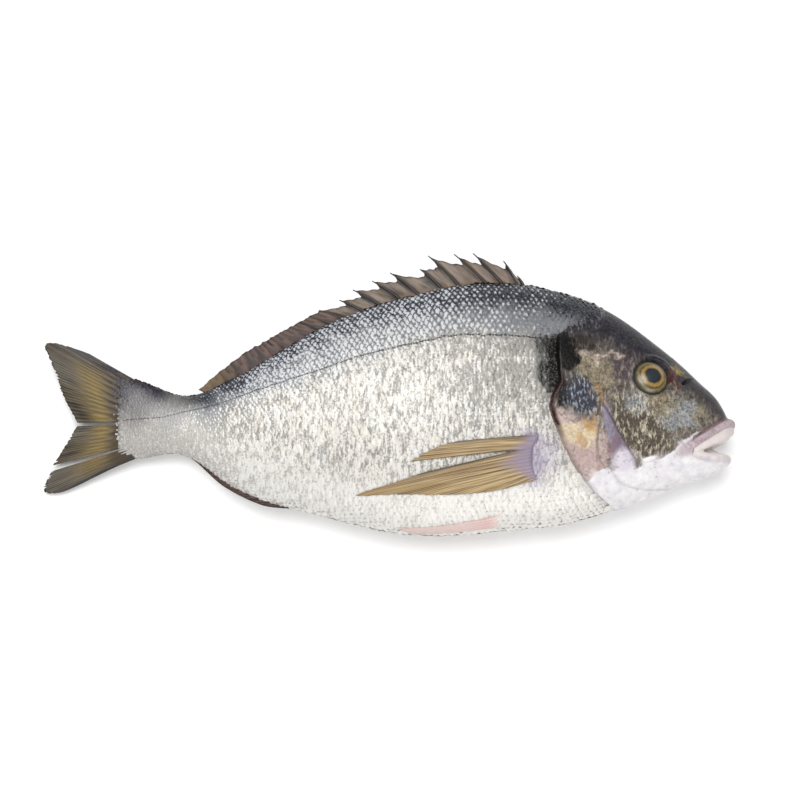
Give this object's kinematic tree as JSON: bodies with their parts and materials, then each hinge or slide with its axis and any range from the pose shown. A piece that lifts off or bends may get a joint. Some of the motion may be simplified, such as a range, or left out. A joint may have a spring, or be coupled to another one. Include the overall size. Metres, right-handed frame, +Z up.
{
  "type": "whole raw fish",
  "caption": "Whole raw gilthead sea bream lying on its side: deep silver body, gill covers, open mouth, spiny dorsal fin, folded fins and forked tail.",
  "frame": {"origin": "on the resting surface, under the middle of the fish's box", "axes": "+X from the tail to the head along the body, +Y towards the back and its dorsal fin, +Z up, out of the right flank"},
  "size_m": [0.3001, 0.1243, 0.0386],
  "materials": {
    "skin": "wet silver scaled skin, dark blue-grey on the back and white on the belly",
    "head": "wet smooth head skin, dark grey and olive brown over a white throat",
    "lip": "wet pale pink lip flesh",
    "fin": "thin wet fin membrane with bony rays",
    "eye": "glossy eye with a golden iris and a dark blue pupil"
  },
  "bodies": {
    "root": {"fish": "skin"}
  },
  "joints": []
}
